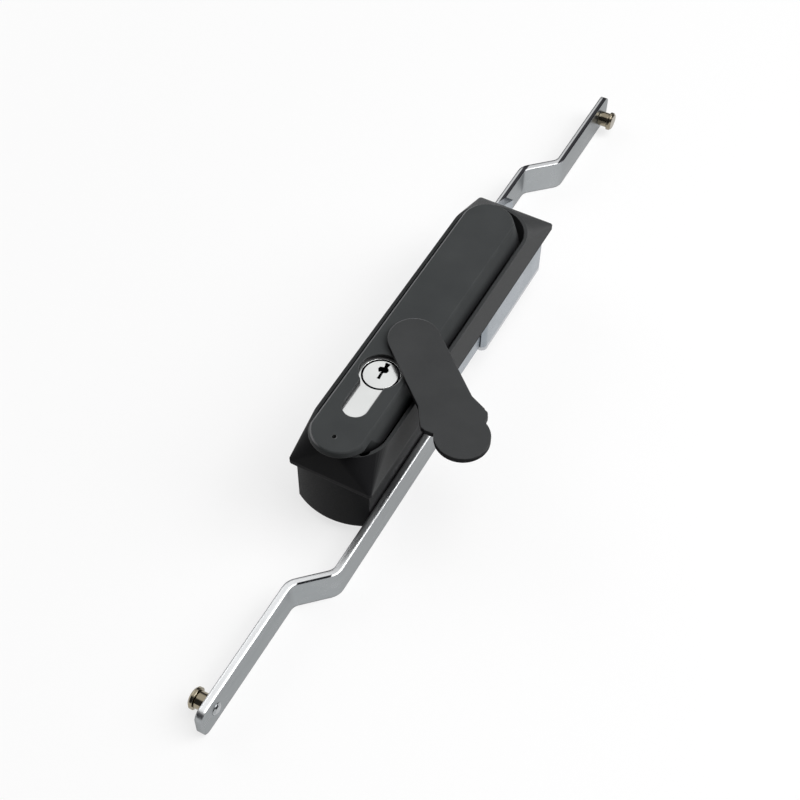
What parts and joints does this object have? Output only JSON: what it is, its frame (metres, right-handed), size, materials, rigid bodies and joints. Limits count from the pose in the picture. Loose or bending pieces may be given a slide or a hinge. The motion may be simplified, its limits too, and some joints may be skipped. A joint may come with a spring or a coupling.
{
  "type": "three-point rod lock",
  "caption": "Cabinet rod lock: black swing handle with a profile half cylinder and swivelling dust cover in a sloped escutcheon, rack gearbox and joggled chrome rods with end rollers.",
  "frame": {"origin": "middle of the flange's rear seating face, on the door face", "axes": "+Z out of the door towards the user, +Y along the rods towards the spindle end, +X across the flange"},
  "size_m": [0.0816, 0.3774, 0.0572],
  "materials": {
    "black_coat": "satin black powder coat",
    "black_cover": "matt black moulding",
    "zinc_cast": "bright zinc die casting",
    "rod_chrome": "bright chrome plate",
    "nickel_plate": "satin nickel plate on brass",
    "pin_nickel": "nickel plate with a warm tone",
    "plain_steel": "zinc plated steel"
  },
  "bodies": {
    "base": {"escutcheon": "black_coat", "handle_hub": "zinc_cast", "hub_circlip": "plain_steel", "gearbox_body": "zinc_cast", "gearbox_cover": "plain_steel", "gearbox_screws": "plain_steel", "cover_screws": "plain_steel"},
    "handle_arm": {"handle": "black_coat", "hinge_pin": "plain_steel", "cylinder_body": "nickel_plate", "cylinder_screw": "plain_steel", "cover_washer": "plain_steel"},
    "cover": {"dust_cover": "black_cover", "cover_clip": "plain_steel"},
    "plug": {"cylinder_plug": "nickel_plate", "key_cam": "plain_steel", "plug_clip": "plain_steel"},
    "drive": {"drive_pinion": "zinc_cast", "spindle": "plain_steel", "centre_cam": "plain_steel", "cam_washer": "plain_steel", "cam_screw": "plain_steel"},
    "lower_bar": {"lower_slider": "zinc_cast", "lower_rod": "rod_chrome", "lower_rivets": "plain_steel", "lower_pin": "pin_nickel"},
    "upper_bar": {"upper_slider": "zinc_cast", "upper_rod": "rod_chrome", "upper_rivets": "plain_steel", "upper_pin": "pin_nickel"},
    "lower_wheel": {"lower_roller": "pin_nickel"},
    "upper_wheel": {"upper_roller": "pin_nickel"}
  },
  "joints": [
    {"name": "handle_lift", "type": "hinge", "parent": "base", "child": "handle_arm", "pos_m": [0, 0.048, 0.015], "axis": [-1, 0, 0], "range_deg": [0, 30]},
    {"name": "cover_swivel", "type": "hinge", "parent": "handle_arm", "child": "cover", "pos_m": [0, -0.0187, 0.022], "axis": [0, 0, 1], "range_deg": [-48.7, 41.3]},
    {"name": "plug_turn", "type": "hinge", "parent": "handle_arm", "child": "plug", "pos_m": [0, -0.0414, 0], "axis": [0, 0, 1], "range_deg": [-90, 0]},
    {"name": "spindle_turn", "type": "hinge", "parent": "base", "child": "drive", "pos_m": [0, 0.048, 0], "axis": [0, 0, 1], "range_deg": [0, 90]},
    {"name": "lower_slide", "type": "slide", "parent": "base", "child": "lower_bar", "axis": [0, 1, 0], "range_m": [0, 0.0158]},
    {"name": "upper_slide", "type": "slide", "parent": "base", "child": "upper_bar", "axis": [0, -1, 0], "range_m": [0, 0.0158]},
    {"name": "lower_roll", "type": "hinge", "parent": "lower_bar", "child": "lower_wheel", "pos_m": [0, -0.172, -0.025], "axis": [1, 0, 0], "continuous": true},
    {"name": "upper_roll", "type": "hinge", "parent": "upper_bar", "child": "upper_wheel", "pos_m": [0, 0.1874, -0.025], "axis": [1, 0, 0], "continuous": true}
  ],
  "couplings": [
    {"joint": "lower_slide", "follows": "spindle_turn", "m_per_rad": 0.01},
    {"joint": "upper_slide", "follows": "spindle_turn", "m_per_rad": 0.01}
  ]
}
